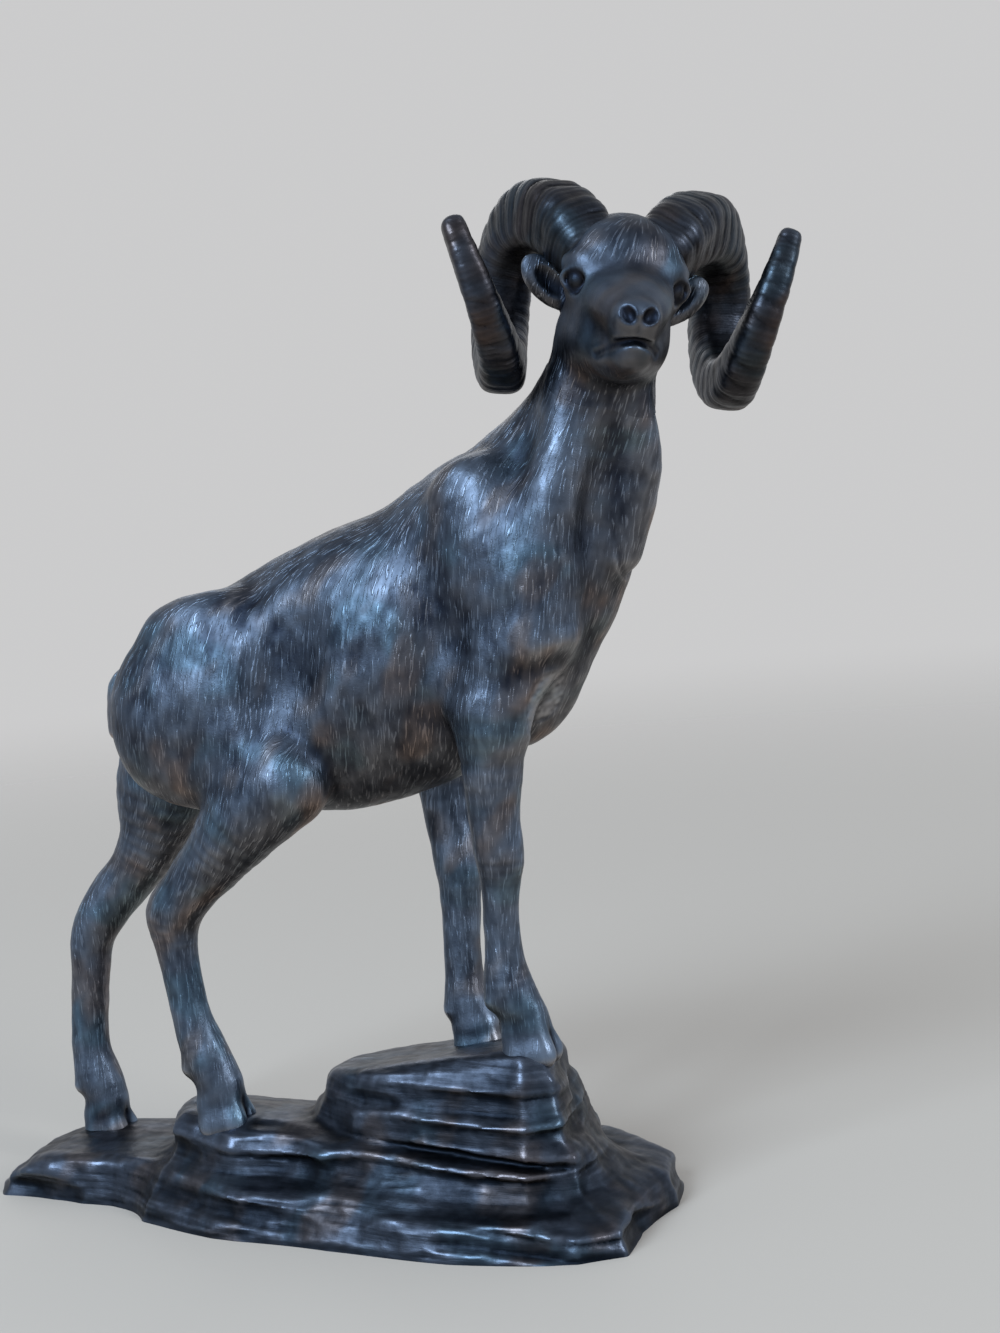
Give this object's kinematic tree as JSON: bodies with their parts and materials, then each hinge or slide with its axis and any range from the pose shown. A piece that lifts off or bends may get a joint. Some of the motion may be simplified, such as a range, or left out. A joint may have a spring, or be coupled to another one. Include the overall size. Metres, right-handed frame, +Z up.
{
  "type": "bighorn sheep figurine",
  "caption": "Cast metal bighorn ram standing with fore hooves up on a layered rock base, head turned aside, heavy curled horns.",
  "frame": {"origin": "in the middle of the flat underside of the rock base, on the surface it stands on", "axes": "+X is the way the ram walks, -Y is the side its head is turned to, +Z is up"},
  "size_m": [0.1089, 0.0362, 0.1133],
  "materials": {
    "aged_metal": "dark aged patina with worn, brighter high spots"
  },
  "bodies": {
    "root": {"ram_figurine": "aged_metal"}
  },
  "joints": []
}
